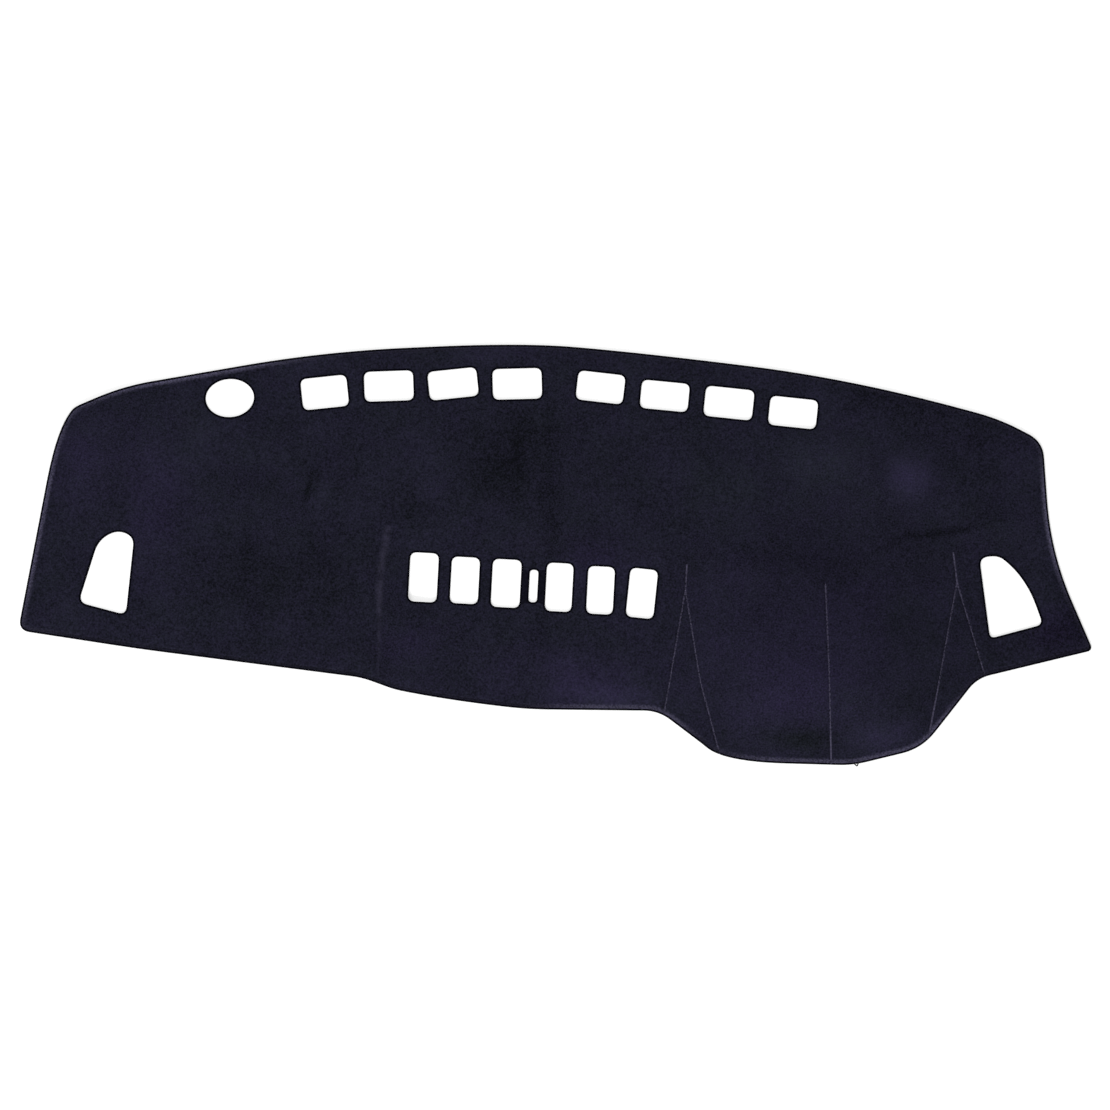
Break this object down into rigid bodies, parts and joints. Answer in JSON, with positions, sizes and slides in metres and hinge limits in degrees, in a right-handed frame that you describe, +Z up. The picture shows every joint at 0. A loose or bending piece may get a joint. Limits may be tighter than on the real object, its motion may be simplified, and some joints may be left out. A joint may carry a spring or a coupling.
{
  "type": "dashboard cover mat",
  "caption": "Sewn pile-cloth cover for a vehicle dashboard, with an overlocked edge, cut-outs for vents and a sensor, and a domed instrument hood shaped by gussets and a dart.",
  "frame": {"origin": "on the table, under the middle of the mat's bounding box", "axes": "+X along the windscreen edge towards the instrument hood's end, +Y towards the windscreen, +Z up out of the pile side"},
  "size_m": [1.452, 0.5696, 0.0376],
  "materials": {
    "pile_cloth": "matte",
    "thread": "satin"
  },
  "bodies": {
    "root": {"main_panel": "pile_cloth", "hood_gusset_left": "pile_cloth", "hood_gusset_right": "pile_cloth"}
  },
  "joints": []
}
